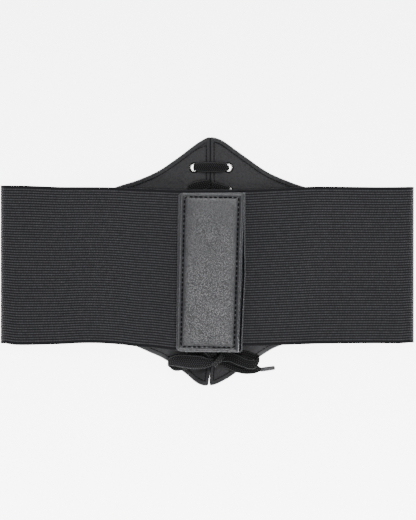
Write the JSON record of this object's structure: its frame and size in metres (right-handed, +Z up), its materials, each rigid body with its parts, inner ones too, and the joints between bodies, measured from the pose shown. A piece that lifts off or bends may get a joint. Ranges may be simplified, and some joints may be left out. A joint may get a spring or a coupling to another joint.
{
  "type": "corset belt",
  "caption": "Wide ribbed elastic waist belt with a pointed faux-leather front panel laced through metal eyelets, closed by an overlapping leather flap and lying flat.",
  "frame": {"origin": "on the surface that the belt lies on, under the middle of its outer box", "axes": "+X runs along the belt from its left fold to its right one, +Y to the upper edge, +Z up from the front panel to the closure"},
  "size_m": [0.332, 0.2, 0.0229],
  "materials": {
    "elastic": "matte ribbed weave",
    "panel_leather": "satin grained faux leather",
    "closure_leather": "satin pebbled faux leather",
    "lace": "matte woven flat lace",
    "eyelet": "polished",
    "aglet": "gloss",
    "tape": "matte hook and loop pile"
  },
  "bodies": {
    "root": {"panel_left": "panel_leather", "panel_right": "panel_leather", "elastic_left": "elastic", "elastic_right": "elastic", "closure_flap": "closure_leather", "closure_placket": "closure_leather", "hook_and_loop": "tape", "lacing": "lace", "bow_knot": "lace", "bow_loop_left": "lace", "bow_loop_right": "lace", "tail_left": "lace", "tail_right": "lace", "aglet_left": "aglet", "aglet_right": "aglet", "eyelet_left_1": "eyelet", "eyelet_right_1": "eyelet", "eyelet_left_2": "eyelet", "eyelet_right_2": "eyelet", "eyelet_left_3": "eyelet", "eyelet_right_3": "eyelet", "eyelet_left_4": "eyelet", "eyelet_right_4": "eyelet", "eyelet_left_5": "eyelet", "eyelet_right_5": "eyelet", "eyelet_left_6": "eyelet", "eyelet_right_6": "eyelet", "eyelet_left_7": "eyelet", "eyelet_right_7": "eyelet", "eyelet_left_8": "eyelet", "eyelet_right_8": "eyelet", "eyelet_left_9": "eyelet", "eyelet_right_9": "eyelet"}
  },
  "joints": []
}
